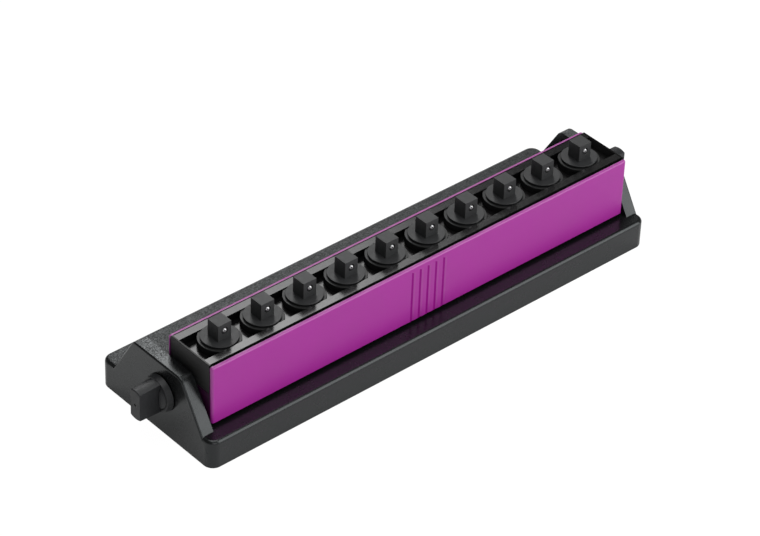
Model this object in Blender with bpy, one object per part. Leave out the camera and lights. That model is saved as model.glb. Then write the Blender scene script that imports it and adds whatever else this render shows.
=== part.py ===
# A socket rail: ten square drive posts stand in a row on a long rail, and the rail
# hangs between the two ears of a bench stand, so that it can be tipped back and locked.

import math

import bmesh
import bpy
from mathutils import Matrix, Vector

# Every size is in metres and is written in millimetres.
MM = 0.001

# Gaps that pieces keep to each other, and how far a cut or a join runs past its target.
seat_gap = 0.3 * MM
close_gap = 0.15 * MM
overrun = 2.0 * MM
merge_distance = 0.001 * MM
tolerance = 0.01 * MM

# The stand: a moulded base plate with an ear at each end, on four rubber feet.
base_depth = 69.0 * MM
base_height = 13.0 * MM
base_corner_radius = 4.4 * MM
base_edge_fillet = 1.7 * MM
foot_radius = 5.0 * MM
foot_stand_out = 0.5 * MM
foot_pocket_depth = 2.5 * MM
foot_edge_chamfer = 0.3 * MM
foot_inset_long = 16.0 * MM
foot_inset_deep = 12.0 * MM

# The ears, as seen from the end: a slope in front, a flat top and a slope behind.
ear_thickness = 5.8 * MM
ear_rise = 20.4 * MM
ear_front_foot = 15.6 * MM
ear_front_corner = 3.2 * MM
ear_front_radius = 4.0 * MM
ear_back_corner = 26.6 * MM
ear_back_foot = 38.9 * MM
ear_back_radius = 3.5 * MM
ear_edge_fillet = 0.8 * MM
ear_pocket_border = 3.0 * MM
ear_pocket_depth = 3.0 * MM
ear_pocket_floor = 2.0 * MM
ear_boss_radius = 6.0 * MM
ear_root = 6.0 * MM

# The pivot that the rail tips on, and where the rail stands on the stand.
rail_behind_front = 21.4 * MM
pivot_from_rail_back = 4.85 * MM
stud_radius = 2.5 * MM
stud_chamfer = 0.4 * MM
stud_reach = 7.7 * MM
washer_radius = 5.5 * MM
washer_deck_room = 1.45 * MM

# The coloured outer rail, a channel closed at both ends.
rail_deck_room = 1.54 * MM
rail_height = 26.76 * MM
rail_wall = 1.4 * MM
rail_floor = 1.6 * MM
rail_corner_radius = 1.1 * MM
rail_edge_fillet = 0.8 * MM
rail_bottom_fillet = 0.3 * MM
rail_back_chamfer = 1.0 * MM
rail_end_block = 10.0 * MM
rail_end_post = 1.6 * MM
rail_side_room = 1.1 * MM
groove_count = 5
groove_pitch = 4.1 * MM
groove_radius = 1.3 * MM
groove_depth = 0.6 * MM
groove_below_top = 2.2 * MM

# The black tray inside it, with the slot that the posts stand in.
tray_stand_out = 0.5 * MM
tray_depth = 13.4 * MM
tray_lip = 3.45 * MM
tray_side_gap = 0.95 * MM
tray_end_overlap = 0.4 * MM
tray_end_wall = 0.85 * MM
slot_half_width = 7.7 * MM
slot_depth = 3.3 * MM
boss_radius = 8.3 * MM
leg_radius = 3.2 * MM
leg_pairs = 2

# The drive posts: a square on a round flange, turning on a stem.
post_count = 10
post_square = 6.4 * MM
post_rise = 7.44 * MM
post_square_root = 0.2 * MM
flange_radius = 7.55 * MM
flange_thickness = 0.54 * MM
flange_lift = 0.05 * MM
stem_radius = 3.0 * MM
stem_length = 7.6 * MM
stem_chamfer = 0.4 * MM
collar_radius = 8.7 * MM
collar_sink = 0.4 * MM
collar_thickness = 1.5 * MM
collar_spacing = 3.6 * MM
collar_end_room = 5.55 * MM

# The sprung ball in the front of each square.
ball_radius = 1.3 * MM
ball_below_top = 3.3 * MM
ball_stand_out = 0.65 * MM
ball_travel = 0.45 * MM
ball_bore_depth = 4.5 * MM
spring_radius = 1.0 * MM

# The knob at each end: a round collar with a flat thumb blade, both narrowing outward.
knob_collar_radius = 8.0 * MM
knob_collar_face_radius = 7.4 * MM
knob_collar_length = 2.65 * MM
knob_collar_chamfer = 0.2 * MM
knob_reach = 12.75 * MM
knob_blade_radius = 7.15 * MM
knob_blade_end_radius = 6.85 * MM
knob_blade_thickness = 5.7 * MM
knob_dome_height = 1.9 * MM
knob_edge_fillet = 0.4 * MM
knob_dimple_radius = 0.5 * MM
knob_dimple_depth = 1.0 * MM
knob_bore_end = 4.5 * MM

# The screws that hold the tray down on the floor of the outer rail.
screw_head_radius = 2.8 * MM
screw_head_height = 1.3 * MM
screw_head_land = 0.2 * MM
screw_shank_radius = 1.3 * MM
screw_length = 9.5 * MM
screw_socket_radius = 1.1 * MM
screw_socket_depth = 0.7 * MM

# How finely round shapes are drawn, in straight sides to a full turn or to a corner.
fine_sides = 32
round_sides = 24
bore_sides = 16
small_sides = 10
corner_steps = 5
fillet_steps = 3
quarter_turn = 90

# Sizes and places that follow from the ones above. The row of posts sets the rail's length,
# the rail sets the stand's, and the stand is centred on the origin.
post_pitch = 2 * collar_radius + collar_spacing
leg_spread = 2 * post_pitch
rail_end_x = post_pitch * (post_count - 1) / 2 + collar_radius + collar_end_room
ear_inner_x = rail_end_x + rail_side_room
base_end_x = ear_inner_x + ear_thickness
tray_half_width = slot_half_width + tray_lip
tray_end_half_width = tray_half_width + tray_end_overlap
rail_width = 2 * (tray_half_width + tray_side_gap + rail_wall)
pivot_behind_rail = rail_width / 2 - pivot_from_rail_back

# Heights over the underside of the base plate, each worked out from the one below it.
ear_height = base_height + ear_rise
pivot_height = base_height + washer_deck_room + washer_radius
rail_bottom = base_height + rail_deck_room
rail_top = rail_bottom + rail_height
tray_top = rail_top + tray_stand_out
tray_bottom = tray_top - tray_depth
slot_floor = tray_top - slot_depth
collar_top = tray_top - collar_sink
flange_top = tray_top + flange_lift + flange_thickness
post_top = flange_top + post_rise
ball_height = post_top - ball_below_top

ground = foot_stand_out
deck = ground + base_height
rail_y = rail_behind_front - base_depth / 2
pivot = Vector((0, rail_y + pivot_behind_rail, ground + pivot_height))


def clear_scene():
    for old in list(bpy.data.objects):
        bpy.data.objects.remove(old)


def make_material(name, colour, roughness, metallic):
    material = bpy.data.materials.new(name)
    material.use_nodes = True
    shader = material.node_tree.nodes["Principled BSDF"]
    shader.inputs["Base Color"].default_value = (*colour, 1)
    shader.inputs["Roughness"].default_value = roughness
    shader.inputs["Metallic"].default_value = metallic
    return material


def arc(centre, radius, start, end, steps):
    """Points along an arc, with its angles in degrees."""
    angles = [math.radians(start + (end - start) * i / steps) for i in range(steps + 1)]
    return [(centre[0] + radius * math.cos(a), centre[1] + radius * math.sin(a)) for a in angles]


def rounded_rectangle(half_x, half_y, radius, steps=corner_steps):
    outline = []
    for turn, (sx, sy) in enumerate(((1, 1), (-1, 1), (-1, -1), (1, -1))):
        centre = (sx * (half_x - radius), sy * (half_y - radius))
        start = quarter_turn * turn
        outline += arc(centre, radius, start, start + quarter_turn, steps)
    return outline


def rounded_corner(before, corner, after, radius, steps):
    """The arc that rounds a corner of an outline, from one side to the next."""
    corner = Vector(corner)
    to_before = (Vector(before) - corner).normalized()
    to_after = (Vector(after) - corner).normalized()
    half_angle = to_before.angle(to_after) / 2
    centre = corner + (to_before + to_after).normalized() * radius / math.sin(half_angle)
    touch = corner + to_before * radius / math.tan(half_angle)
    swing = math.pi - 2 * half_angle
    if to_before.cross(to_after) < 0:
        swing = -swing
    spoke = touch - centre
    turned = [Matrix.Rotation(-swing * i / steps, 2) @ spoke + centre for i in range(steps + 1)]
    return [tuple(point) for point in turned]


def prism(outline, low, high, plane="XY"):
    """A solid with a flat outline, drawn in one plane and pushed along the third axis."""
    place = {
        "XY": lambda a, b, along: (a, b, along),
        "YZ": lambda a, b, along: (along, a, b),
    }[plane]
    mesh = bmesh.new()
    face = mesh.faces.new([mesh.verts.new(place(a, b, low)) for a, b in outline])
    pushed = bmesh.ops.extrude_face_region(mesh, geom=[face])
    moved = [item for item in pushed["geom"] if isinstance(item, bmesh.types.BMVert)]
    bmesh.ops.translate(mesh, verts=moved, vec=place(0, 0, high - low))
    bmesh.ops.recalc_face_normals(mesh, faces=mesh.faces)
    return mesh


def block(low, high):
    outline = [(low[0], low[1]), (high[0], low[1]), (high[0], high[1]), (low[0], high[1])]
    return prism(outline, low[2], high[2])


def turned(profile, sides, axis="Z"):
    """A solid of revolution from a list of (radius, place along the axis), capped flat at both ends."""
    mesh = bmesh.new()
    verts = [mesh.verts.new((radius, 0, along)) for radius, along in profile]
    edges = [mesh.edges.new(pair) for pair in zip(verts, verts[1:])]
    bmesh.ops.spin(
        mesh,
        geom=verts + edges,
        cent=(0, 0, 0),
        axis=(0, 0, 1),
        angle=math.tau,
        steps=sides,
        use_merge=True,
    )
    bmesh.ops.remove_doubles(mesh, verts=mesh.verts, dist=merge_distance)
    bmesh.ops.holes_fill(mesh, edges=mesh.edges, sides=sides)
    turn = {
        "Z": Matrix.Identity(4),
        "X": Matrix.Rotation(math.radians(90), 4, "Y"),
        "Y": Matrix.Rotation(math.radians(-90), 4, "X"),
    }[axis]
    bmesh.ops.transform(mesh, matrix=turn, verts=mesh.verts)
    bmesh.ops.recalc_face_normals(mesh, faces=mesh.faces)
    return mesh


def rod(radius, low, high, sides, axis="Z"):
    return turned([(radius, low), (radius, high)], sides, axis)


def shifted(mesh, offset):
    bmesh.ops.translate(mesh, verts=mesh.verts, vec=offset)
    return mesh


def bevel_edges(mesh, chosen, width, steps):
    edges = [edge for edge in mesh.edges if chosen(edge)]
    bmesh.ops.bevel(mesh, geom=edges, offset=width, segments=steps, profile=0.5, affect="EDGES")
    return mesh


def level_at(height, axis=2):
    """Picks the edges that lie in one plane across an axis."""
    return lambda edge: all(abs(vert.co[axis] - height) < tolerance for vert in edge.verts)


def carve(body, cuts=(), joins=()):
    """Joins solids onto a body, cuts others out of it and returns the finished mesh."""
    helpers = []

    def helper(mesh):
        data = bpy.data.meshes.new("helper")
        mesh.to_mesh(data)
        mesh.free()
        made = bpy.data.objects.new("helper", data)
        made.hide_render = True
        made.display_type = "WIRE"
        bpy.context.scene.collection.objects.link(made)
        helpers.append(made)
        return made

    target = helper(body)
    for operation, others in (("UNION", joins), ("DIFFERENCE", cuts)):
        for other in others:
            boolean = target.modifiers.new(operation.lower(), "BOOLEAN")
            boolean.operation = operation
            boolean.solver = "EXACT"
            boolean.object = helper(other)
    bpy.context.view_layer.update()
    evaluated = target.evaluated_get(bpy.context.evaluated_depsgraph_get())
    finished = bpy.data.meshes.new_from_object(evaluated)
    for made in helpers:
        bpy.data.objects.remove(made)
    return finished


def plain(mesh):
    data = bpy.data.meshes.new("solid")
    mesh.to_mesh(data)
    mesh.free()
    return data


def add_object(name, data, material, location, parent=None):
    """Places a mesh as a named piece. The location is where its own origin stands in the world."""
    if not data.materials:
        data.materials.append(material)
    data.shade_smooth()
    data.set_sharp_from_angle(angle=math.radians(35))
    made = bpy.data.objects.new(name, data)
    bpy.context.scene.collection.objects.link(made)
    made.parent = parent
    made.location = Vector(location) - (world_place(parent) if parent else Vector())
    return made


def world_place(item):
    place = Vector()
    while item:
        place += item.location
        item = item.parent
    return place


def add_pivot(name, location, parent=None):
    empty = bpy.data.objects.new(name, None)
    bpy.context.scene.collection.objects.link(empty)
    empty.parent = parent
    empty.location = Vector(location) - (world_place(parent) if parent else Vector())
    return empty


def ear_outline(inset, floor):
    """The ear's outline as (y, z), drawn in by an inset and closed at a floor height."""
    top = ground + ear_height - inset
    foot_front = Vector((rail_y - ear_front_foot, deck))
    corner_front = Vector((rail_y - ear_front_corner, ground + ear_height))
    corner_back = Vector((rail_y + ear_back_corner, ground + ear_height))
    foot_back = Vector((rail_y + ear_back_foot, deck))

    def slope_at(low, high, side, height):
        run = high - low
        sideways = side * inset * run.length / abs(run.y)
        return (low.x + run.x * (height - low.y) / run.y + sideways, height)

    front_low = slope_at(foot_front, corner_front, 1, floor)
    front_high = slope_at(foot_front, corner_front, 1, top)
    back_high = slope_at(foot_back, corner_back, -1, top)
    back_low = slope_at(foot_back, corner_back, -1, floor)
    front_radius = ear_front_radius - inset
    back_radius = ear_back_radius - inset
    outline = [back_low]
    outline += rounded_corner(back_low, back_high, front_high, back_radius, corner_steps)
    outline += rounded_corner(back_high, front_high, front_low, front_radius, corner_steps)
    outline.append(front_low)
    return outline


def stand_ear():
    """One ear, at the +X end: its outer face is flush with the end of the base plate."""
    root = ground + base_height - ear_root
    ear = prism(ear_outline(0, root), ear_inner_x, base_end_x, "YZ")
    on_outer_face = level_at(base_end_x, 0)

    def round_over(edge):
        return on_outer_face(edge) and max(vert.co.z for vert in edge.verts) > root + tolerance

    return bevel_edges(ear, round_over, ear_edge_fillet, 2)


def ear_pocket():
    """The shallow hollow in the inner face of the +X ear."""
    outline = ear_outline(ear_pocket_border, deck + ear_pocket_floor)
    return prism(outline, ear_inner_x - overrun, ear_inner_x + ear_pocket_depth, "YZ")


def mirrored(mesh):
    """The same solid at the -X end."""
    bmesh.ops.scale(mesh, vec=(-1, 1, 1), verts=mesh.verts)
    bmesh.ops.reverse_faces(mesh, faces=mesh.faces)
    return mesh


def foot_places():
    x = base_end_x - foot_inset_long
    y = base_depth / 2 - foot_inset_deep
    return {
        "front_left": (-x, -y),
        "front_right": (x, -y),
        "back_left": (-x, y),
        "back_right": (x, y),
    }


def stand_base_mesh():
    outline = rounded_rectangle(base_end_x, base_depth / 2, base_corner_radius)
    plate = prism(outline, ground, deck)
    bevel_edges(plate, level_at(deck), base_edge_fillet, fillet_steps)
    joins = [stand_ear(), mirrored(stand_ear())]
    with_ears = carve(plate, joins=joins)

    body = bmesh.new()
    body.from_mesh(with_ears)
    cuts = [ear_pocket(), mirrored(ear_pocket())]
    with_pockets = carve(body, cuts=cuts)

    body = bmesh.new()
    body.from_mesh(with_pockets)
    boss_end = (ear_inner_x + ear_pocket_depth + base_end_x) / 2
    bosses = []
    for side in (1, -1):
        boss = rod(ear_boss_radius, ear_inner_x, boss_end, bore_sides, "X")
        shifted(boss, (0, pivot.y, pivot.z))
        bosses.append(boss if side > 0 else mirrored(boss))
    with_bosses = carve(body, joins=bosses)

    body = bmesh.new()
    body.from_mesh(with_bosses)
    cuts = []
    for side in (1, -1):
        far = base_end_x + overrun
        bore = rod(stud_radius + seat_gap, ear_inner_x - overrun, far, bore_sides, "X")
        shifted(bore, (0, pivot.y, pivot.z))
        cuts.append(bore if side > 0 else mirrored(bore))
    for x, y in foot_places().values():
        pocket = rod(foot_radius + seat_gap, ground - overrun, ground + foot_pocket_depth, bore_sides)
        cuts.append(shifted(pocket, (x, y, 0)))
    return carve(body, cuts=cuts)


def foot_mesh():
    top = ground + foot_pocket_depth - seat_gap
    inner = foot_radius - foot_edge_chamfer
    profile = [(inner, 0), (foot_radius, foot_edge_chamfer), (foot_radius, top)]
    return plain(turned(profile, bore_sides))


def groove_cutter(x):
    """One upright groove in the front face, open at the bottom and round at its top end."""
    middle = -rail_width / 2 - groove_radius + groove_depth
    low = rail_bottom - overrun
    high = rail_top - groove_below_top
    tip = groove_radius - groove_depth
    groove = turned([(groove_radius, low), (groove_radius, high - groove_radius), (tip, high)], small_sides)
    return shifted(groove, (x, middle, 0))


def screw_places():
    """Where the tray's legs stand, along the rail."""
    places = []
    for pair in range(leg_pairs):
        x = leg_spread * (2 * pair + 1) / 2
        places += [-x, x]
    return sorted(places)


def screw_hole():
    """The countersunk hole for a screw, a little larger than the screw all over."""
    head = screw_head_radius + close_gap
    shank = screw_shank_radius + seat_gap
    land = rail_bottom + screw_head_land
    cone_end = rail_bottom + screw_head_height + close_gap
    top = rail_bottom + rail_floor + overrun
    low = rail_bottom - overrun
    profile = [(head, low), (head, land), (shank, cone_end), (shank, top)]
    return turned(profile, bore_sides)


def rail_back_cutter():
    """The space under the slanted back edge, which lets the rail tip back over the deck."""
    rear = rail_width / 2 + overrun
    low = rail_bottom - overrun
    slant = rail_back_chamfer + 2 * overrun
    outline = [(rear - slant, low), (rear, low), (rear, low + slant)]
    far = rail_end_x + overrun
    return prism(outline, -far, far, "YZ")


def rail_shell_mesh():
    """The channel, drawn about the rail's middle at the height of the stand's underside."""
    outline = rounded_rectangle(rail_end_x, rail_width / 2, rail_corner_radius)
    body = prism(outline, rail_bottom, rail_top)
    bevel_edges(body, level_at(rail_top), rail_edge_fillet, fillet_steps)
    bevel_edges(body, level_at(rail_bottom), rail_bottom_fillet, 1)
    inner_y = rail_width / 2 - rail_wall
    floor = rail_bottom + rail_floor
    block_x = rail_end_x - rail_end_block
    post_x = rail_end_x - rail_end_post
    block_top = tray_bottom - seat_gap
    notch_y = tray_end_half_width + seat_gap
    high = rail_top + overrun
    cuts = [
        block((-block_x, -inner_y, floor), (block_x, inner_y, high)),
        block((-post_x, -inner_y, block_top), (post_x, inner_y, high)),
        block((-rail_end_x - overrun, -notch_y, block_top), (rail_end_x + overrun, notch_y, high)),
        rail_back_cutter(),
    ]
    for side in (1, -1):
        inner_end = rail_end_x - stud_reach - seat_gap
        bore = rod(stud_radius + seat_gap, inner_end, rail_end_x + overrun, bore_sides, "X")
        shifted(bore, (0, pivot_behind_rail, pivot_height))
        cuts.append(bore if side > 0 else mirrored(bore))
    for index in range(groove_count):
        cuts.append(groove_cutter((index - (groove_count - 1) / 2) * groove_pitch))
    for x in screw_places():
        cuts.append(shifted(screw_hole(), (x, 0, 0)))
    return carve(body, cuts=cuts)


def post_places():
    return [(index - (post_count - 1) / 2) * post_pitch for index in range(post_count)]


def post_tray_mesh():
    """The tray, drawn about the rail's middle: its slot, the bosses in it and its legs."""
    wall_x = rail_end_x - tray_end_wall
    long_x = rail_end_x - tray_end_wall / 2
    body = block((-long_x, -tray_half_width, tray_bottom), (long_x, tray_half_width, tray_top))
    joins = []
    for side in (1, -1):
        low = (wall_x, -tray_end_half_width, tray_bottom)
        high = (rail_end_x, tray_end_half_width, tray_top)
        end = block(low, high)
        joins.append(end if side > 0 else mirrored(end))
    leg_foot = rail_bottom + rail_floor + seat_gap
    for x in screw_places():
        leg = rod(leg_radius, leg_foot, tray_bottom + overrun, bore_sides)
        joins.append(shifted(leg, (x, 0, 0)))
    with_ends = carve(body, joins=joins)

    body = bmesh.new()
    body.from_mesh(with_ends)
    slot_low = (-wall_x, -slot_half_width, slot_floor)
    slot = block(slot_low, (wall_x, slot_half_width, tray_top + overrun))
    with_slot = carve(body, cuts=[slot])

    body = bmesh.new()
    body.from_mesh(with_slot)
    boss_top = collar_top - collar_thickness - seat_gap
    bosses = []
    for x in post_places():
        boss = rod(boss_radius, slot_floor - overrun, boss_top, round_sides)
        bosses.append(shifted(boss, (x, 0, 0)))
    with_bosses = carve(body, joins=bosses)

    body = bmesh.new()
    body.from_mesh(with_bosses)
    bore_floor = flange_top - flange_thickness - stem_length - seat_gap
    cuts = []
    for x in post_places():
        bore = rod(stem_radius + seat_gap, bore_floor, tray_top + overrun, bore_sides)
        cuts.append(shifted(bore, (x, 0, 0)))
    for x in screw_places():
        end = rail_bottom + screw_length + seat_gap
        bore = rod(screw_shank_radius + seat_gap, rail_bottom - overrun, end, small_sides)
        cuts.append(shifted(bore, (x, 0, 0)))
    return carve(body, cuts=cuts)


def post_mesh():
    """A drive post about its own axis, with its flange's underside at height zero."""
    half = post_square / 2
    square_top = post_top - flange_top + flange_thickness
    square = block((-half, -half, flange_thickness - post_square_root), (half, half, square_top))
    stem_end = -stem_length
    profile = [
        (stem_radius - stem_chamfer, stem_end),
        (stem_radius, stem_end + stem_chamfer),
        (stem_radius, 0),
        (flange_radius, 0),
        (flange_radius, flange_thickness),
    ]
    ball_z = ball_height - flange_top + flange_thickness
    bore = rod(ball_radius + close_gap, -half - overrun, ball_bore_depth - half, small_sides, "Y")
    shifted(bore, (0, 0, ball_z))
    return carve(turned(profile, round_sides), joins=[square], cuts=[bore])


def collar_mesh():
    """The collar under a post's flange: a ring with two flats that fit the tray's slot."""
    inner = stem_radius + seat_gap
    profile = [
        (inner, -collar_thickness),
        (collar_radius, -collar_thickness),
        (collar_radius, 0),
        (inner, 0),
        (inner, -collar_thickness),
    ]
    flat_y = slot_half_width - close_gap
    far = collar_radius + overrun
    cuts = []
    for side in (1, -1):
        low = (-far, min(side * flat_y, side * far), -collar_thickness - overrun)
        high = (far, max(side * flat_y, side * far), overrun)
        cuts.append(block(low, high))
    return carve(turned(profile, round_sides), cuts=cuts)


def ball_mesh():
    mesh = bmesh.new()
    bmesh.ops.create_uvsphere(mesh, u_segments=small_sides, v_segments=small_sides // 2, radius=ball_radius)
    return plain(mesh)


def ball_offset():
    """How far in front of the post's axis the middle of its ball lies at rest."""
    return post_square / 2 + ball_stand_out - ball_radius


def spring_mesh():
    """The spring behind the ball, drawn closed up as it is when the ball is pressed in."""
    front = ball_radius + ball_travel + close_gap - ball_offset()
    back = ball_bore_depth - post_square / 2 - close_gap
    return plain(rod(spring_radius, front, back, small_sides, "Y"))


def knob_dome_profile(step):
    """The collar's domed face, from its rim to the sides of the blade."""
    rim = knob_collar_face_radius - knob_collar_chamfer
    inner = knob_blade_thickness / 2 - close_gap
    points = []
    for i in range(corner_steps + 1):
        along = i / corner_steps
        radius = rim + (inner - rim) * along
        points.append((radius, step + knob_dome_height * (1 - (1 - along) ** 2)))
    return points


def knob_mesh():
    """The +X knob about the pivot axis, drawn outward from the face of the ear."""
    start = seat_gap
    step = seat_gap + knob_collar_length
    far = knob_reach
    middle = (start + step) / 2
    blade_profile = [
        (knob_blade_radius, middle),
        (knob_blade_end_radius, far - knob_edge_fillet),
        (knob_blade_end_radius - knob_edge_fillet, far),
    ]
    beside = [knob_side_cutter(1), knob_side_cutter(-1)]
    blade = bmesh.new()
    blade.from_mesh(carve(turned(blade_profile, fine_sides, "X"), cuts=beside))

    collar_profile = [
        (knob_collar_radius, start),
        (knob_collar_face_radius, step - knob_collar_chamfer),
    ]
    collar = turned(collar_profile + knob_dome_profile(step), fine_sides, "X")
    whole = bmesh.new()
    whole.from_mesh(carve(blade, joins=[collar]))

    bore_end = far - knob_bore_end
    bore = rod(stud_radius + close_gap, start - overrun, bore_end, bore_sides, "X")
    dimple = rod(knob_dimple_radius, far - knob_dimple_depth, far + overrun, small_sides, "X")
    return carve(whole, cuts=[bore, dimple])


def knob_side_cutter(side):
    """The space beside the blade."""
    flat = side * knob_blade_thickness / 2
    wide = side * (knob_blade_radius + overrun)
    tall = knob_blade_radius + overrun
    low = (-overrun, min(flat, wide), -tall)
    high = (knob_reach + overrun, max(flat, wide), tall)
    return block(low, high)


def stud_mesh():
    """The +X pivot stud about its axis, drawn outward from the face of the ear."""
    inner_end = rail_end_x - stud_reach - base_end_x
    outer_end = knob_reach - knob_bore_end - seat_gap
    thin = stud_radius - stud_chamfer
    profile = [
        (thin, inner_end),
        (stud_radius, inner_end + stud_chamfer),
        (stud_radius, outer_end - stud_chamfer),
        (thin, outer_end),
    ]
    return plain(turned(profile, bore_sides, "X"))


def washer_mesh():
    """The +X washer between the ear and the end of the rail, about the pivot axis."""
    inner = stud_radius + seat_gap
    low = rail_end_x + seat_gap
    high = ear_inner_x - seat_gap
    profile = [(inner, low), (washer_radius, low), (washer_radius, high), (inner, high), (inner, low)]
    return plain(turned(profile, bore_sides, "X"))


def screw_mesh():
    """A countersunk screw about its axis, with its head's face at height zero."""
    profile = [
        (screw_head_radius, 0),
        (screw_head_radius, screw_head_land),
        (screw_shank_radius, screw_head_height),
        (screw_shank_radius, screw_length),
    ]
    socket = rod(screw_socket_radius, -overrun, screw_socket_depth, small_sides // 2)
    return carve(turned(profile, bore_sides), cuts=[socket])


def mirrored_mesh(data):
    """A finished mesh as it is at the other end of the stand."""
    mesh = bmesh.new()
    mesh.from_mesh(data)
    return plain(mirrored(mesh))


def build_stand(materials):
    add_object("stand_base", stand_base_mesh(), materials["stand"], (0, 0, 0))
    foot = foot_mesh()
    for name, (x, y) in foot_places().items():
        add_object("rubber_foot_" + name, foot, materials["rubber"], (x, y, 0))
    washer = washer_mesh()
    at_axis = (0, pivot.y, pivot.z)
    add_object("washer_right", washer, materials["steel"], at_axis)
    add_object("washer_left", mirrored_mesh(washer), materials["steel"], at_axis)


def build_knobs(materials):
    knob = knob_mesh()
    stud = stud_mesh()
    for name, side in (("right", 1), ("left", -1)):
        place = (side * base_end_x, pivot.y, pivot.z)
        axis = add_pivot("knob_axis_" + name, place)
        knob_data = knob if side > 0 else mirrored_mesh(knob)
        stud_data = stud if side > 0 else mirrored_mesh(stud)
        add_object("knob_" + name, knob_data, materials["knob"], place, axis)
        add_object("pivot_stud_" + name, stud_data, materials["steel"], place, axis)


def build_rail(materials):
    tilt_axis = add_pivot("tilt_axis", pivot)
    middle = (0, rail_y, ground)
    add_object("rail_shell", rail_shell_mesh(), materials["shell"], middle, tilt_axis)
    add_object("post_tray", post_tray_mesh(), materials["tray"], middle, tilt_axis)
    screw = screw_mesh()
    for index, x in enumerate(screw_places()):
        place = (x, rail_y, ground + rail_bottom)
        add_object(f"rail_screw_{index + 1}", screw, materials["steel"], place, tilt_axis)
    return tilt_axis


def build_posts(materials, tilt_axis):
    post = post_mesh()
    collar = collar_mesh()
    ball = ball_mesh()
    spring = spring_mesh()
    for index, x in enumerate(post_places()):
        number = f"{index + 1:02d}"
        foot = Vector((x, rail_y, ground + flange_top - flange_thickness))
        axis = add_pivot("post_axis_" + number, foot, tilt_axis)
        ball_place = Vector((x, rail_y - ball_offset(), ground + ball_height))
        spring_place = Vector((x, rail_y, ground + ball_height))
        collar_place = (x, rail_y, ground + collar_top)
        add_object("post_" + number, post, materials["post"], foot, axis)
        add_object("post_collar_" + number, collar, materials["post"], collar_place, tilt_axis)
        add_object("detent_ball_" + number, ball, materials["chrome"], ball_place, axis)
        add_object("detent_spring_" + number, spring, materials["steel"], spring_place, axis)


def main():
    clear_scene()
    materials = {
        "stand": make_material("stand_plastic", (0.018, 0.019, 0.020), 0.45, 0),
        "rubber": make_material("foot_rubber", (0.012, 0.012, 0.012), 0.85, 0),
        "shell": make_material("coloured_shell", (0.36, 0.045, 0.32), 0.38, 0),
        "tray": make_material("tray_plastic", (0.010, 0.010, 0.011), 0.15, 0),
        "post": make_material("post_plastic", (0.030, 0.031, 0.033), 0.50, 0),
        "knob": make_material("knob_plastic", (0.020, 0.020, 0.021), 0.45, 0),
        "steel": make_material("pivot_steel", (0.55, 0.55, 0.56), 0.35, 1),
        "chrome": make_material("ball_chrome", (0.80, 0.80, 0.82), 0.08, 1),
    }
    build_stand(materials)
    build_knobs(materials)
    tilt_axis = build_rail(materials)
    build_posts(materials, tilt_axis)


main()
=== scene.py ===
import math

import bmesh
import bpy
from mathutils import Matrix, Vector


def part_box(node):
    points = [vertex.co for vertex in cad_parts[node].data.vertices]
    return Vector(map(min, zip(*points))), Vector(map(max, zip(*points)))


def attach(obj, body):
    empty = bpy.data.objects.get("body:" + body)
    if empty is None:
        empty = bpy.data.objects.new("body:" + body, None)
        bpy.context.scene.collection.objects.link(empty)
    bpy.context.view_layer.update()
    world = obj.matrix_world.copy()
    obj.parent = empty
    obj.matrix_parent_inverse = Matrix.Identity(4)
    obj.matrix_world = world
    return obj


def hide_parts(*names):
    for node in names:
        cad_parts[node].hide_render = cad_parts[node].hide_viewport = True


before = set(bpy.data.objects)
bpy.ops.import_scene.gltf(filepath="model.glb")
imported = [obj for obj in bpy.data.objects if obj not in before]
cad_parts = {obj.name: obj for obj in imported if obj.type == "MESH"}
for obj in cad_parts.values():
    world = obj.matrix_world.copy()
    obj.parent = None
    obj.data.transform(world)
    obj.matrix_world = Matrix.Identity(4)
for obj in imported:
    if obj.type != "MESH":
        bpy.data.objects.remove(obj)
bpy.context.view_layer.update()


# The stand is one black plastic moulding: a thick plate with rounded corners and an
# upright ear at each end. Its front is smooth, and its rear deck and ears are grained.
MM = 0.001
past = 2.0 * MM  # how far a cutter runs on beyond the face that it cuts
level_within = 0.01 * MM  # points this close count as level with each other
weld_within = 0.001 * MM
sharp_angle = math.radians(32)  # edges that turn more than this stay crisp
stand_low, stand_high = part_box("stand_base")
rail_low, rail_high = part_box("rail_shell")
stud_low, stud_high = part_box("pivot_stud_right")
stand_end = stand_high.x
stand_half_depth = stand_high.y
stand_deck = stand_low.z + 13.0 * MM
stand_corner_radius = 4.4 * MM
stand_edge_fillet = 1.7 * MM
stand_bottom_round = 0.3 * MM

rail_middle_y = (rail_low.y + rail_high.y) / 2
pivot_y = (stud_low.y + stud_high.y) / 2
pivot_z = (stud_low.z + stud_high.z) / 2

ear_thickness = 5.8 * MM
ear_inner = stand_end - ear_thickness
ear_front_foot = rail_middle_y - 15.6 * MM
ear_front_corner = rail_middle_y - 3.2 * MM
ear_back_corner = rail_middle_y + 26.6 * MM
ear_back_foot = rail_middle_y + 38.9 * MM
ear_front_radius = 4.0 * MM
ear_back_radius = 3.5 * MM
ear_edge_fillet = 0.8 * MM
ear_root = 6.0 * MM
ear_pocket_border = 3.0 * MM
ear_pocket_depth = 3.0 * MM
ear_pocket_floor = 2.0 * MM
ear_boss_radius = 6.0 * MM
pivot_bore_radius = 2.8 * MM
foot_pocket_radius = 5.3 * MM
foot_pocket_depth = 2.5 * MM

stand_black = (0.0060, 0.0063, 0.0066)
stand_cool_shine = (0.93, 0.985, 1.0)
grain_start_y = rail_middle_y + 7 * MM
grain_full_y = rail_middle_y + 13 * MM
grain_size = 0.55 * MM
grain_depth = 0.11 * MM
satin_size = 0.25 * MM
satin_depth = 0.03 * MM


def arc_points(centre, radius, start, end, steps):
    """Points along an arc, with its angles in degrees."""
    angles = [math.radians(start + (end - start) * i / steps) for i in range(steps + 1)]
    return [(centre[0] + radius * math.cos(a), centre[1] + radius * math.sin(a)) for a in angles]


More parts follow.
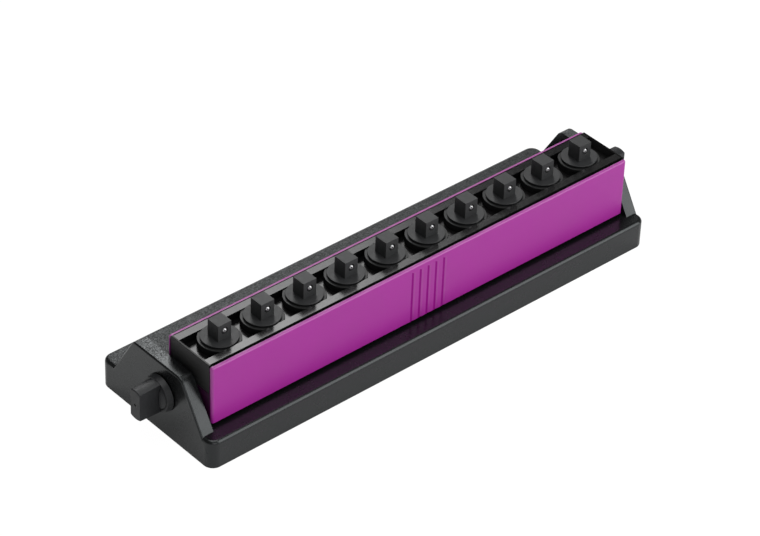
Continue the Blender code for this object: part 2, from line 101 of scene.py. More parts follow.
def rounded_plate_outline(half_x, half_y, radius, steps):
    """A rectangle about the middle, with rounded corners."""
    outline = []
    for quarter, (sx, sy) in enumerate(((1, 1), (-1, 1), (-1, -1), (1, -1))):
        centre = (sx * (half_x - radius), sy * (half_y - radius))
        outline += arc_points(centre, radius, 90 * quarter, 90 * quarter + 90, steps)
    return outline


def round_corner(before, corner, after, radius, steps):
    """The arc that rounds one corner of an outline."""
    corner = Vector(corner)
    to_before = (Vector(before) - corner).normalized()
    to_after = (Vector(after) - corner).normalized()
    half_angle = to_before.angle(to_after) / 2
    centre = corner + (to_before + to_after).normalized() * radius / math.sin(half_angle)
    spoke = corner + to_before * radius / math.tan(half_angle) - centre
    swing = math.pi - 2 * half_angle
    if to_before.cross(to_after) < 0:
        swing = -swing
    points = [Matrix.Rotation(-swing * i / steps, 2) @ spoke + centre for i in range(steps + 1)]
    return [tuple(point) for point in points]


def slab(outline, low, high, across="Z"):
    """A solid with a flat outline, pushed along X or Z."""
    mesh = bmesh.new()
    if across == "Z":
        corners = [mesh.verts.new((a, b, low)) for a, b in outline]
        push = Vector((0, 0, high - low))
    else:
        corners = [mesh.verts.new((low, a, b)) for a, b in outline]
        push = Vector((high - low, 0, 0))
    pushed = bmesh.ops.extrude_face_region(mesh, geom=[mesh.faces.new(corners)])
    moved = [item for item in pushed["geom"] if isinstance(item, bmesh.types.BMVert)]
    bmesh.ops.translate(mesh, verts=moved, vec=push)
    bmesh.ops.recalc_face_normals(mesh, faces=mesh.faces)
    return mesh


def lathe(profile, sides, axis="Z", at=(0, 0, 0)):
    """A turned solid from (radius, place along the axis), capped flat at both ends."""
    mesh = bmesh.new()
    verts = [mesh.verts.new((radius, 0, along)) for radius, along in profile]
    edges = [mesh.edges.new(pair) for pair in zip(verts, verts[1:])]
    bmesh.ops.spin(
        mesh,
        geom=verts + edges,
        cent=(0, 0, 0),
        axis=(0, 0, 1),
        angle=math.tau,
        steps=sides,
        use_merge=True,
    )
    bmesh.ops.remove_doubles(mesh, verts=mesh.verts, dist=weld_within)
    bmesh.ops.holes_fill(mesh, edges=mesh.edges, sides=sides)
    turn = {
        "Z": Matrix.Identity(4),
        "X": Matrix.Rotation(math.radians(90), 4, "Y"),
        "Y": Matrix.Rotation(math.radians(-90), 4, "X"),
    }[axis]
    bmesh.ops.transform(mesh, matrix=Matrix.Translation(at) @ turn, verts=mesh.verts)
    bmesh.ops.recalc_face_normals(mesh, faces=mesh.faces)
    return mesh


def to_other_end(mesh):
    """The same solid at the -X end."""
    bmesh.ops.scale(mesh, vec=(-1, 1, 1), verts=mesh.verts)
    bmesh.ops.reverse_faces(mesh, faces=mesh.faces)
    return mesh


def soften(mesh, chosen, width, steps):
    """Rounds the edges that a test picks out."""
    edges = [edge for edge in mesh.edges if chosen(edge)]
    bmesh.ops.bevel(mesh, geom=edges, offset=width, segments=steps, profile=0.5, affect="EDGES")
    return mesh


def in_plane(place, axis=2):
    """A test for the edges that lie in one flat face."""
    return lambda edge: all(abs(vert.co[axis] - place) < level_within for vert in edge.verts)


def mould(body, joins=(), cuts=()):
    """Joins solids onto a body, then cuts others out of it, and returns the finished mesh."""
    helpers = []

    def helper(mesh):
        data = bpy.data.meshes.new("helper")
        mesh.to_mesh(data)
        mesh.free()
        made = bpy.data.objects.new("helper", data)
        bpy.context.scene.collection.objects.link(made)
        helpers.append(made)
        return made

    target = helper(body)
    for operation, others in (("UNION", joins), ("DIFFERENCE", cuts)):
        for other in others:
            boolean = target.modifiers.new(operation, "BOOLEAN")
            boolean.operation = operation
            boolean.solver = "EXACT"
            boolean.object = helper(other)
    bpy.context.view_layer.update()
    evaluated = target.evaluated_get(bpy.context.evaluated_depsgraph_get())
    finished = bmesh.new()
    finished.from_mesh(evaluated.to_mesh())
    for made in helpers:
        bpy.data.objects.remove(made)
    return finished


def finish_mesh(mesh):
    """Mesh data for an object: smooth across its rounds and crisp along its edges."""
    data = bpy.data.meshes.new("piece")
    mesh.to_mesh(data)
    mesh.free()
    data.shade_smooth()
    data.set_sharp_from_angle(angle=sharp_angle)
    return data


def show_piece(name, data, material, body, nodes, at=(0, 0, 0)):
    """Puts a finished mesh in the scene in place of its CAD nodes, on its own body."""
    if not data.materials:
        data.materials.append(material)
    made = bpy.data.objects.new(name, data)
    bpy.context.scene.collection.objects.link(made)
    made.location = at
    weighted = made.modifiers.new("even shading", "WEIGHTED_NORMAL")
    weighted.keep_sharp = True
    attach(made, body)
    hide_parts(*nodes)
    return made


def new_finish(name, colour, roughness, metallic=0.0):
    """A bare surface, with its node tree ready for the grain and wear that follow."""
    material = bpy.data.materials.new(name)
    material.use_nodes = True
    shader = material.node_tree.nodes["Principled BSDF"]
    shader.inputs["Base Color"].default_value = (*colour, 1)
    shader.inputs["Roughness"].default_value = roughness
    shader.inputs["Metallic"].default_value = metallic
    return material


def add_node(material, kind, **settings):
    """A new node, with its sockets and settings given by name."""
    node = material.node_tree.nodes.new(kind)
    for name, value in settings.items():
        if name in node.inputs:
            node.inputs[name].default_value = value
        else:
            setattr(node, name, value)
    return node


def feed(material, socket, source):
    """Links another node's output to a socket, or sets the socket to a number or a colour."""
    if isinstance(source, bpy.types.NodeSocket):
        material.node_tree.links.new(source, socket)
    else:
        socket.default_value = (*source, 1) if isinstance(source, tuple) else source


def set_surface(material, name, source):
    """Feeds one of the surface's own sockets."""
    feed(material, material.node_tree.nodes["Principled BSDF"].inputs[name], source)


def place_and_facing(material):
    """Where a point lies on the piece, and which way its surface faces, each as X, Y and Z."""
    place = add_node(material, "ShaderNodeTexCoord")
    split = []
    for name in ("Object", "Normal"):
        parts = add_node(material, "ShaderNodeSeparateXYZ")
        feed(material, parts.inputs["Vector"], place.outputs[name])
        split.append(parts.outputs)
    return split


def combine(material, operation, *sources):
    """A sum, product or the like of numbers and other nodes' outputs."""
    sums = add_node(material, "ShaderNodeMath", operation=operation)
    for socket, source in zip(sums.inputs, sources):
        feed(material, socket, source)
    return sums.outputs["Value"]


def blend(material, share, start, end):
    """A value or a colour between two others. The end is a plain tuple where they are colours."""
    kind = "RGBA" if isinstance(end, tuple) else "FLOAT"
    mix = add_node(material, "ShaderNodeMix", data_type=kind)
    for name, source in (("Factor", share), ("A", start), ("B", end)):
        feed(material, mix.inputs[name], source)
    return mix.outputs["Result"]


def fine_noise(material, size, detail=2.0):
    """Noise whose lumps are about one size across, fixed to the piece."""
    noise = add_node(material, "ShaderNodeTexNoise", Scale=1 / size, Detail=detail)
    place = add_node(material, "ShaderNodeTexCoord")
    feed(material, noise.inputs["Vector"], place.outputs["Object"])
    return noise.outputs["Fac"]


def spread(material, source, low, high, to_low, to_high):
    """Maps a value from one range to another."""
    ranged = add_node(material, "ShaderNodeMapRange")
    limits = {"From Min": low, "From Max": high, "To Min": to_low, "To Max": to_high}
    for name, value in limits.items():
        ranged.inputs[name].default_value = value
    feed(material, ranged.inputs["Value"], source)
    return ranged.outputs["Result"]


def uneven(material, noise, low, high, margin=0.3):
    """A value that wanders with the noise, which seldom comes within a margin of 0 or 1."""
    return spread(material, noise, margin, 1 - margin, low, high)


def relief(material, height, strength, depth, over=None):
    """Fine relief from a height of 0 to 1, laid over another relief where one is given."""
    bump = add_node(material, "ShaderNodeBump", Strength=strength, Distance=depth)
    feed(material, bump.inputs["Height"], height)
    if over is not None:
        feed(material, bump.inputs["Normal"], over)
    return bump.outputs["Normal"]


def ear_side(inset, floor):
    """The ear's outline seen from the end, as (y, z), drawn in by an inset."""
    top = stand_high.z - inset
    front_foot = Vector((ear_front_foot, stand_deck))
    front_corner = Vector((ear_front_corner, stand_high.z))
    back_corner = Vector((ear_back_corner, stand_high.z))
    back_foot = Vector((ear_back_foot, stand_deck))

    def on_slope(low, high, side, height):
        run = high - low
        sideways = side * inset * run.length / abs(run.y)
        return (low.x + run.x * (height - low.y) / run.y + sideways, height)

    front_low = on_slope(front_foot, front_corner, 1, floor)
    front_high = on_slope(front_foot, front_corner, 1, top)
    back_high = on_slope(back_foot, back_corner, -1, top)
    back_low = on_slope(back_foot, back_corner, -1, floor)
    outline = [back_low]
    outline += round_corner(back_low, back_high, front_high, ear_back_radius - inset, 12)
    outline += round_corner(back_high, front_high, front_low, ear_front_radius - inset, 16)
    outline.append(front_low)
    return outline


def ear():
    """The right-hand ear, rooted in the plate, with its outer edge rounded."""
    root = stand_deck - ear_root
    solid = slab(ear_side(0, root), ear_inner, stand_end, "X")
    on_outer_face = in_plane(stand_end, 0)
    above_root = lambda edge: max(vert.co.z for vert in edge.verts) > root + level_within
    return soften(solid, lambda edge: on_outer_face(edge) and above_root(edge), ear_edge_fillet, 5)


def ear_pocket():
    """The hollow in an ear's inner face."""
    outline = ear_side(ear_pocket_border, stand_deck + ear_pocket_floor)
    return slab(outline, ear_inner - past, ear_inner + ear_pocket_depth, "X")


def both_ends(make):
    """One solid for each end of the stand or rail."""
    return [make(), to_other_end(make())]


def pivot_boss():
    """The round boss in an ear's hollow, which the stud runs through."""
    end = (ear_inner + ear_pocket_depth + stand_end) / 2
    return lathe([(ear_boss_radius, ear_inner), (ear_boss_radius, end)], 48, "X", (0, pivot_y, pivot_z))


def pivot_bore():
    """The hole through an ear for the stud."""
    span = [(pivot_bore_radius, ear_inner - past), (pivot_bore_radius, stand_end + past)]
    return lathe(span, 40, "X", (0, pivot_y, pivot_z))


def stand_finish():
    """Black plastic: a satin front, and a coarse leathery grain behind and on the ears' tops, with a
    painted sheen that grows towards the tops.
    """
    material = new_finish("stand_black_plastic", stand_black, 0.26)
    where, facing = place_and_facing(material)
    behind = spread(material, where["Y"], grain_start_y, grain_full_y, 0, 1)
    upward = spread(material, facing["Z"], 0.90, 0.99, 0, 1)
    grained = combine(material, "MULTIPLY", behind, upward)

    crumbs = fine_noise(material, grain_size, 2.5)
    crumb_margin = 0.33
    pits = uneven(material, crumbs, 0, 1, crumb_margin)
    satin = relief(material, fine_noise(material, satin_size), 0.03, satin_depth)
    coarse_grain = combine(material, "MULTIPLY", pits, grained)
    set_surface(material, "Normal", relief(material, coarse_grain, 0.5, grain_depth, over=satin))

    smooth = uneven(material, fine_noise(material, 6.0 * MM, 4.0), 0.23, 0.29)
    coarse = uneven(material, crumbs, 0.50, 0.36, crumb_margin)
    set_surface(material, "Roughness", blend(material, grained, smooth, coarse))
    sparkle = uneven(material, crumbs, 0.28, 0.72, crumb_margin)
    # Painted sheen: the grain shines up to twice as strongly towards the ears' tops.
    painted_height_sheen = spread(material, where["Z"], stand_deck + 4 * MM, stand_high.z - 4 * MM, 1.0, 2.0)
    grain_sparkle_and_painted_sheen = combine(material, "MULTIPLY", sparkle, painted_height_sheen)
    set_surface(material, "Specular IOR Level", blend(material, grained, 0.54, grain_sparkle_and_painted_sheen))
    set_surface(material, "Specular Tint", stand_cool_shine)
    return material


plate_outline = rounded_plate_outline(stand_end, stand_half_depth, stand_corner_radius, 12)
plate = slab(plate_outline, stand_low.z, stand_deck)
soften(plate, in_plane(stand_deck), stand_edge_fillet, 7)
soften(plate, in_plane(stand_low.z), stand_bottom_round, 2)
moulding = mould(plate, joins=both_ends(ear))
moulding = mould(moulding, cuts=both_ends(ear_pocket))
moulding = mould(moulding, joins=both_ends(pivot_boss))
foot_holes = []
for corner in ("front_left", "front_right", "back_left", "back_right"):
    low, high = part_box("rubber_foot_" + corner)
    centre = ((low.x + high.x) / 2, (low.y + high.y) / 2, 0)
    wall = [(foot_pocket_radius, 0), (foot_pocket_radius, stand_low.z + foot_pocket_depth)]
    foot_holes.append(lathe(wall, 40, "Z", centre))
moulding = mould(moulding, cuts=both_ends(pivot_bore) + foot_holes)
black_plastic = stand_finish()
show_piece("stand_moulding", finish_mesh(moulding), black_plastic, "root", ["stand_base"])


# Four round feet of black rubber, pressed into pockets under the plate. They stand half a
# millimetre proud, so the stand grips the bench.
rubber_black = (0.014, 0.014, 0.014)


def add_matt_skin(material, size, strength, depth, patches, roughness):
    """A fine skin, with patches that handling has left smoother or rougher."""
    skin = fine_noise(material, size, 3.0)
    set_surface(material, "Normal", relief(material, skin, strength, depth))
    worn = fine_noise(material, patches, 3.0)
    set_surface(material, "Roughness", uneven(material, worn, *roughness))


def rubber_finish():
    """Black rubber with a gritty, dusty skin."""
    material = new_finish("foot_rubber", rubber_black, 0.85)
    add_matt_skin(material, 0.4 * MM, 0.4, 0.08 * MM, patches=3.0 * MM, roughness=(0.78, 0.92))
    return material


def dress_node(name, material):
    """Gives a CAD node that stays in view its real finish."""
    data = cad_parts[name].data
    data.materials.clear()
    data.materials.append(material)


rubber = rubber_finish()
for corner in ("front_left", "front_right", "back_left", "back_right"):
    dress_node("rubber_foot_" + corner, rubber)


# The outer rail is a metal channel painted satin purple, closed low at both ends, with five
# finger grooves in its front. It hangs on the two pivot studs between the ears.
rail_end = rail_high.x
rail_half_width = (rail_high.y - rail_low.y) / 2
rail_corner_radius = 1.1 * MM
rail_edge_fillet = 0.8 * MM
rail_bottom_fillet = 0.3 * MM
rail_back_chamfer = 1.0 * MM
rail_wall = 1.4 * MM
rail_floor = rail_low.z + 1.6 * MM
rail_end_block = 10.0 * MM
rail_end_post = 1.6 * MM
rail_notch_half_width = 11.85 * MM
rail_notch_floor = stand_low.z + 28.1 * MM
rail_bore_depth = 8.0 * MM
inside_half_width = rail_half_width - rail_wall

groove_count = 5
groove_pitch = 4.1 * MM
groove_start = -8.8 * MM
grooves_end = groove_start + groove_count * groove_pitch
groove_ridge = 0.1 * MM
groove_depth = 0.32 * MM
groove_wall = 1.4 * MM
groove_shoulder = 2.2 * MM
groove_shoulder_depth = 0.4 * groove_depth
groove_top = rail_high.z - 2.2 * MM
groove_run_out = 0.7 * MM
shade_full_x = 12.0 * MM  # how far from the middle the grooves' own shade reaches
shade_gone_x = 12.5 * MM

screw_head_radius = 2.95 * MM
screw_head_land = 0.2 * MM
screw_head_depth = 1.45 * MM
screw_shank_radius = 1.6 * MM

paint_purple = (0.395, 0.014, 0.325)
paint_darker = (0.388, 0.0135, 0.319)
paint_lighter = (0.402, 0.0145, 0.331)
# The next two colours are painted shade: the grooves' sides that face +X, and all between the side
# walls.
groove_shade_purple = (0.270, 0.0085, 0.215)
painted_inside_shade = (0.040, 0.0020, 0.034)


def rail_block(low_x, high_x, half_y, low_z, high_z):
    """A box centred on the rail's own line."""
    front = rail_middle_y - half_y
    back = rail_middle_y + half_y
    return slab([(low_x, front), (high_x, front), (high_x, back), (low_x, back)], low_z, high_z)


def finger_groove(start):
    """A shallow upright flute: a short steep side, then a long side back out to the face."""
    face = rail_low.y
    end = start + groove_pitch - groove_ridge
    deepest = (start + groove_wall, face + groove_depth)
    halfway = (start + groove_shoulder, face + groove_shoulder_depth)
    outline = [(start, face - past), (end, face - past), (end, face), halfway, deepest, (start, face)]
    flute = slab(outline, rail_low.z - past, groove_top)
    for vert in flute.verts:
        sunk = (vert.co.y - face) / groove_depth
        if vert.co.z > groove_top - level_within and sunk > 0.1:
            vert.co.z -= groove_run_out * sunk
    bmesh.ops.triangulate(flute, faces=[side for side in flute.faces if len(side.verts) > 4])
    return flute


def sharpen_grooves(data):
    """Keeps the grooves' edges crisp, which turn too little to stay so by their angle."""
    deep_enough = rail_low.y + 1.1 * groove_depth
    for edge in data.edges:
        ends = [data.vertices[end].co for end in edge.vertices]
        if all(abs(end.x) < grooves_end and end.y < deep_enough for end in ends):
            edge.use_edge_sharp = True


def screw_sink(x):
    """Room in the channel's floor for one countersunk screw."""
    face = rail_low.z
    profile = [
        (screw_head_radius, face - past),
        (screw_head_radius, face + screw_head_land),
        (screw_shank_radius, face + screw_head_depth),
        (screw_shank_radius, rail_floor + past),
    ]
    return lathe(profile, 32, "Z", (x, rail_middle_y, 0))


def paint_finish():
    """Satin purple paint with a faint orange peel. A painted sheen makes it shine most along its top
    edges and on faces turned towards -X, and painted shade darkens and dulls the grooves' sides that
    face +X.
    All that lies between the two side walls is painted dark as shade: the channel's inside, and the
    rail's ends and underside with it."""
    material = new_finish("purple_satin_paint", paint_purple, 0.36)
    where, facing = place_and_facing(material)
    # Painted shade: the grooves' sides that face +X are darkened and lose most of their shine.
    off_middle = combine(material, "ABSOLUTE", where["X"])
    in_grooves = spread(material, off_middle, shade_full_x, shade_gone_x, 1, 0)
    turned_away = spread(material, facing["X"], 0.06, 0.20, 0, 1)
    painted_groove_shade = combine(material, "MULTIPLY", in_grooves, turned_away)
    # Painted sheen: faces turned upwards or towards -X shine more than the rest.
    painted_upward_sheen = spread(material, facing["Z"], 0.15, 0.60, 0.5, 1.25)
    painted_minus_x_sheen = spread(material, facing["X"], -0.20, -0.04, 0.4, 0)
    painted_sheen_and_haze = combine(material, "ADD", painted_upward_sheen, painted_minus_x_sheen)
    groove_shade_dimming = spread(material, painted_groove_shade, 0, 1, 1, 0.05)
    set_surface(material, "Specular IOR Level", combine(material, "MULTIPLY", painted_sheen_and_haze, groove_shade_dimming))

    peel = fine_noise(material, 0.7 * MM)
    set_surface(material, "Normal", relief(material, peel, 0.05, 0.04 * MM))
    clouds = fine_noise(material, 14.0 * MM, 3.0)
    upright_roughness = uneven(material, clouds, 0.33, 0.39)
    softer_on_top = spread(material, facing["Z"], 0.15, 0.60, 0, 0.13)
    set_surface(material, "Roughness", combine(material, "ADD", upright_roughness, softer_on_top))

    tint = blend(material, uneven(material, clouds, 0, 1), paint_darker, paint_lighter)
    shaded = blend(material, painted_groove_shade, tint, groove_shade_purple)
    # Painted shade: all that lies between the two side walls is coloured nearly black.
    off_line = combine(material, "SUBTRACT", where["Y"], rail_middle_y)
    sideways = combine(material, "ABSOLUTE", off_line)
    inner_skin = inside_half_width + 0.04 * MM
    outer_skin = inside_half_width + 0.10 * MM
    shade_between_walls = spread(material, sideways, inner_skin, outer_skin, 1, 0)
    set_surface(material, "Base Color", blend(material, shade_between_walls, shaded, painted_inside_shade))
    return material


shell_outline = rounded_plate_outline(rail_end, rail_half_width, rail_corner_radius, 8)
shell_outline = [(x, y + rail_middle_y) for x, y in shell_outline]
shell = slab(shell_outline, rail_low.z, rail_high.z)
soften(shell, in_plane(rail_high.z), rail_edge_fillet, 6)
soften(shell, in_plane(rail_low.z), rail_bottom_fillet, 3)
block_x = rail_end - rail_end_block
post_x = rail_end - rail_end_post
far_x = rail_end + past
above = rail_high.z + past
hollows = [
    rail_block(-block_x, block_x, inside_half_width, rail_floor, above),
    rail_block(-post_x, post_x, inside_half_width, rail_notch_floor, above),
    rail_block(-far_x, far_x, rail_notch_half_width, rail_notch_floor, above),
]


def rail_bore():
    """The blind hole in the rail's end for the pivot stud."""
    span = [(pivot_bore_radius, rail_end - rail_bore_depth), (pivot_bore_radius, far_x)]
    return lathe(span, 40, "X", (0, pivot_y, pivot_z))


rear = rail_half_width + rail_middle_y + past
low_edge = rail_low.z - past
slant = rail_back_chamfer + 2 * past
under_back = [(rear - slant, low_edge), (rear, low_edge), (rear, low_edge + slant)]
hollows.append(slab(under_back, -far_x, far_x, "X"))
hollows += both_ends(rail_bore)
hollows += [finger_groove(groove_start + i * groove_pitch) for i in range(groove_count)]
for number in range(1, 5):
    low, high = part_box(f"rail_screw_{number}")
    hollows.append(screw_sink((low.x + high.x) / 2))
purple_paint = paint_finish()
shell = finish_mesh(mould(shell, cuts=hollows))
sharpen_grooves(shell)
show_piece("purple_rail", shell, purple_paint, "rail", ["rail_shell"])


# The tray is a glossy black moulding that drops into the channel. Two polished lips run
# beside its slot, a thin plate closes each end, and a boss carries each post.
tray_low, tray_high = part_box("post_tray")
tray_half_width = 11.15 * MM
tray_end_half_width = 11.55 * MM
tray_end_wall = 0.85 * MM
tray_end_round = 0.15 * MM
tray_bottom = stand_low.z + 28.4 * MM
slot_half_width = 7.7 * MM
slot_floor = stand_low.z + 38.5 * MM
boss_radius = 8.3 * MM
boss_top = stand_low.z + 39.6 * MM
post_bore_radius = 3.3 * MM
post_bore_floor = stand_low.z + 33.95 * MM
leg_radius = 3.2 * MM
post_numbers = [f"{i + 1:02d}" for i in range(10)]

tray_black = (0.0060, 0.0058, 0.0060)
# Painted light: the paler grey given to faces that face along the rail.
painted_end_grey = (0.0200, 0.0200, 0.0205)


def post_x_of(number):
    """Where a post stands along the rail."""
    low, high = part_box("post_" + number)
    return (low.x + high.x) / 2


def gloss_finish():
    """Glossy black plastic with faint moulding haze. Its upright sides shine far less, and its ends are
    rougher and painted a paler grey as light. Painted shade dims the tops of its end plates, and a
    painted sheen makes its front lip shine more than the back one."""
    material = new_finish("tray_gloss_black", tray_black, 0.20)
    where, facing = place_and_facing(material)
    on_end = spread(material, combine(material, "ABSOLUTE", facing["X"]), 0.70, 0.95, 0, 1)
    on_side = spread(material, combine(material, "ABSOLUTE", facing["Y"]), 0.70, 0.95, 0, 1)
    haze = fine_noise(material, 2.5 * MM, 4.0)
    painted_sheen_and_haze = uneven(material, haze, 0.18, 0.22)
    set_surface(material, "Roughness", blend(material, on_end, painted_sheen_and_haze, 0.45))
    # Painted light: faces that face along the rail are coloured a paler grey.
    set_surface(material, "Base Color", blend(material, on_end, tray_black, painted_end_grey))

    shine = spread(material, on_side, 0, 1, 0.56, 0.05)
    along = combine(material, "ABSOLUTE", where["X"])
    # Painted shade: the end plates' tops shine only a quarter as much.
    end_start = tray_high.x - tray_end_wall - 0.05 * MM
    painted_end_shade = spread(material, along, end_start, end_start + 0.1 * MM, 1, 0.25)
    # Painted sheen: the shine falls away from the front lip to the back one.
    lip_front = rail_middle_y - slot_half_width
    lip_back = rail_middle_y + slot_half_width
    painted_lip_sheen = spread(material, where["Y"], lip_front, lip_back, 1.25, 0.80)
    lips = combine(material, "MULTIPLY", combine(material, "MULTIPLY", shine, painted_end_shade), painted_lip_sheen)
    set_surface(material, "Specular IOR Level", blend(material, on_end, lips, 0.5))

    ripple = fine_noise(material, 1.2 * MM)
    set_surface(material, "Normal", relief(material, ripple, 0.04, 0.02 * MM))
    return material


def end_plate():
    """The thin plate that closes the tray's right-hand end."""
    inner = tray_high.x - tray_end_wall
    plate_solid = rail_block(inner, tray_high.x, tray_end_half_width, tray_bottom, tray_high.z)
    return soften(plate_solid, in_plane(tray_high.x, 0), tray_end_round, 2)


inside_plates = tray_high.x - tray_end_wall / 2
tray = rail_block(-inside_plates, inside_plates, tray_half_width, tray_bottom, tray_high.z)
legs = []
for number in range(1, 5):
    low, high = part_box(f"rail_screw_{number}")
    leg = [(leg_radius, tray_low.z), (leg_radius, tray_bottom + past)]
    legs.append(lathe(leg, 32, "Z", ((low.x + high.x) / 2, rail_middle_y, 0)))
tray = mould(tray, joins=both_ends(end_plate) + legs)
inner_end = tray_high.x - tray_end_wall
slot_room = rail_block(-inner_end, inner_end, slot_half_width, slot_floor, tray_high.z + past)
tray = mould(tray, cuts=[slot_room])
bosses = []
bores = []
for number in post_numbers:
    place = (post_x_of(number), rail_middle_y, 0)
    boss = [(boss_radius, slot_floor - past), (boss_radius, boss_top)]
    bore = [(post_bore_radius, post_bore_floor), (post_bore_radius, tray_high.z + past)]
    bosses.append(lathe(boss, 48, "Z", place))
    bores.append(lathe(bore, 32, "Z", place))
tray = mould(mould(tray, joins=bosses), cuts=bores)
gloss_black = gloss_finish()
show_piece("gloss_tray", finish_mesh(tray), gloss_black, "rail", ["post_tray"])


# Plain turned steel: the two pivot studs, the washers beside the rail's ends and the four
# countersunk screws under it. Little of it shows until the rail is tipped back.
steel_grey = (0.55, 0.55, 0.56)


def turned_steel_finish():
    """Bare steel with fine turning marks."""
    material = new_finish("turned_steel", steel_grey, 0.32, 1.0)
    marks = fine_noise(material, 0.3 * MM)
    set_surface(material, "Roughness", uneven(material, marks, 0.26, 0.42))
    set_surface(material, "Normal", relief(material, marks, 0.15, 0.02 * MM))
    return material


steel = turned_steel_finish()
for side in ("left", "right"):
    dress_node("pivot_stud_" + side, steel)
    dress_node("washer_" + side, steel)
for number in range(1, 5):
    dress_node(f"rail_screw_{number}", steel)


# Ten collars of dark satin plastic sit on the tray's bosses, under the posts' flanges.
# Each is a round disc with two flats that keep it square in the slot.
collar_low, collar_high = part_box("post_collar_01")
collar_radius = (collar_high.x - collar_low.x) / 2
collar_flat = (collar_high.y - collar_low.y) / 2
collar_thickness = collar_high.z - collar_low.z
collar_round = 0.15 * MM
collar_grey = (0.0085, 0.0090, 0.0090)


def dark_satin_finish():
    """Dark grey plastic with a fine matt skin."""
    material = new_finish("collar_dark_satin", collar_grey, 0.45)
    add_matt_skin(material, 0.18 * MM, 0.12, 0.03 * MM, patches=2.0 * MM, roughness=(0.42, 0.50))
    return material


def collar_mesh():
    """A flat ring with its top edge rounded and a flat on each side."""
    ring = [
        (post_bore_radius, -collar_thickness),
        (collar_radius, -collar_thickness),
        (collar_radius, -collar_round),
        (collar_radius - collar_round, 0),
        (post_bore_radius, 0),
        (post_bore_radius, -collar_thickness),
    ]
    far = collar_radius + past
    beside = []
    for side in (1, -1):
        near_y, far_y = sorted((side * collar_flat, side * far))
        corners = [(-far, near_y), (far, near_y), (far, far_y), (-far, far_y)]
        beside.append(slab(corners, -collar_thickness - past, past))
    return finish_mesh(mould(lathe(ring, 72), cuts=beside))


dark_satin = dark_satin_finish()
collar_data = collar_mesh()
for number in post_numbers:
    at = (post_x_of(number), rail_middle_y, collar_high.z)
    node = "post_collar_" + number
    show_piece("collar_" + number, collar_data, dark_satin, "rail", [node], at)


# Each post is one piece of dark satin plastic: a quarter-inch square to carry a socket, a
# round flange for the socket to stand on, and a stem that turns in the tray. A bore in the
# square's front holds a steel spring and the ball.
post_low, post_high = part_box("post_01")
ball_low, ball_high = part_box("detent_ball_01")
post_square = 6.4 * MM
flange_radius = (post_high.x - post_low.x) / 2
flange_top = stand_low.z + 42.39 * MM
flange_thickness = 0.54 * MM
stem_radius = 3.0 * MM
post_edge = 0.05 * MM
post_rim = 0.1 * MM
stem_chamfer = 4 * post_rim
ball_z = (ball_low.z + ball_high.z) / 2
ball_bore_radius = 1.45 * MM
ball_bore_depth = 4.5 * MM
post_grey = (0.0205, 0.0215, 0.0225)


def post_mesh():
    """The square on its flange and stem, bored for the ball, with its origin on the flange."""
    half = post_square / 2
    height = post_high.z - flange_top
    corners = [(-half, -half), (half, -half), (half, half), (-half, half)]
    square = slab(corners, -flange_thickness / 2, height)
    upright = lambda edge: abs(edge.verts[0].co.z - edge.verts[1].co.z) > height / 2
    soften(square, lambda edge: upright(edge) or in_plane(height)(edge), post_edge, 2)
    stem_end = post_low.z - flange_top
    turned = [
        (stem_radius - stem_chamfer, stem_end),
        (stem_radius, stem_end + stem_chamfer),
        (stem_radius, -flange_thickness),
        (flange_radius - post_rim, -flange_thickness),
        (flange_radius, -flange_thickness + post_rim),
        (flange_radius, -post_rim),
        (flange_radius - post_rim, 0),
    ]
    hole = [(ball_bore_radius, -half - past), (ball_bore_radius, ball_bore_depth - half)]
    bore = lathe(hole, 24, "Y", (0, 0, ball_z - flange_top))
    return finish_mesh(mould(lathe(turned, 72), joins=[square], cuts=[bore]))


def post_finish():
    """Dark grey plastic, matt and even as a coating, a little paler than the collars."""
    material = new_finish("post_dark_coating", post_grey, 0.50)
    set_surface(material, "Specular IOR Level", 0.62)
    add_matt_skin(material, 0.18 * MM, 0.14, 0.03 * MM, patches=2.0 * MM, roughness=(0.47, 0.54))
    return material


dark_coating = post_finish()
post_data = post_mesh()
for number in post_numbers:
    at = (post_x_of(number), rail_middle_y, flange_top)
    post = "post_" + number
    show_piece("drive_" + post, post_data, dark_coating, post, [post], at)
    dress_node("detent_spring_" + number, steel)


# A polished steel ball stands well under a millimetre out of each post's front face, and the
# spring behind it lets it give as a socket goes on.
ball_steel = (0.60, 0.60, 0.61)
# Painted reflection: two dark spots on each ball stand in for the dark things it mirrors.
painted_reflection_dark = (0.02, 0.02, 0.02)
painted_reflection_spots = [  # each one's place from the ball's middle, and its radius
    ((-0.33 * MM, -1.17 * MM, 0.45 * MM), 0.40 * MM),
    ((0.83 * MM, -0.78 * MM, 0.63 * MM), 0.26 * MM),
]


def polished_ball_finish():
    """Polished steel, scuffed by sockets, with two spots of painted dark reflection on the side that
    shows.
    """
    material = new_finish("polished_ball", ball_steel, 0.24, 1.0)
    scuffs = fine_noise(material, 0.2 * MM, 3.0)
    set_surface(material, "Roughness", uneven(material, scuffs, 0.24, 0.34))
    place = add_node(material, "ShaderNodeTexCoord")
    clear_of_painted_reflection = []
    for spot, radius in painted_reflection_spots:
        apart = add_node(material, "ShaderNodeVectorMath", operation="DISTANCE")
        feed(material, apart.inputs[0], place.outputs["Object"])
        apart.inputs[1].default_value = spot
        clear_of_painted_reflection.append(spread(material, apart.outputs["Value"], 0.8 * radius, radius, 0, 1))
    unpainted_share = combine(material, "MULTIPLY", *clear_of_painted_reflection)
    set_surface(material, "Base Color", blend(material, unpainted_share, painted_reflection_dark, ball_steel))
    return material


def ball_mesh():
    """One ball, about its own middle."""
    mesh = bmesh.new()
    radius = (ball_high.x - ball_low.x) / 2
    bmesh.ops.create_uvsphere(mesh, u_segments=28, v_segments=16, radius=radius)
    return finish_mesh(mesh)


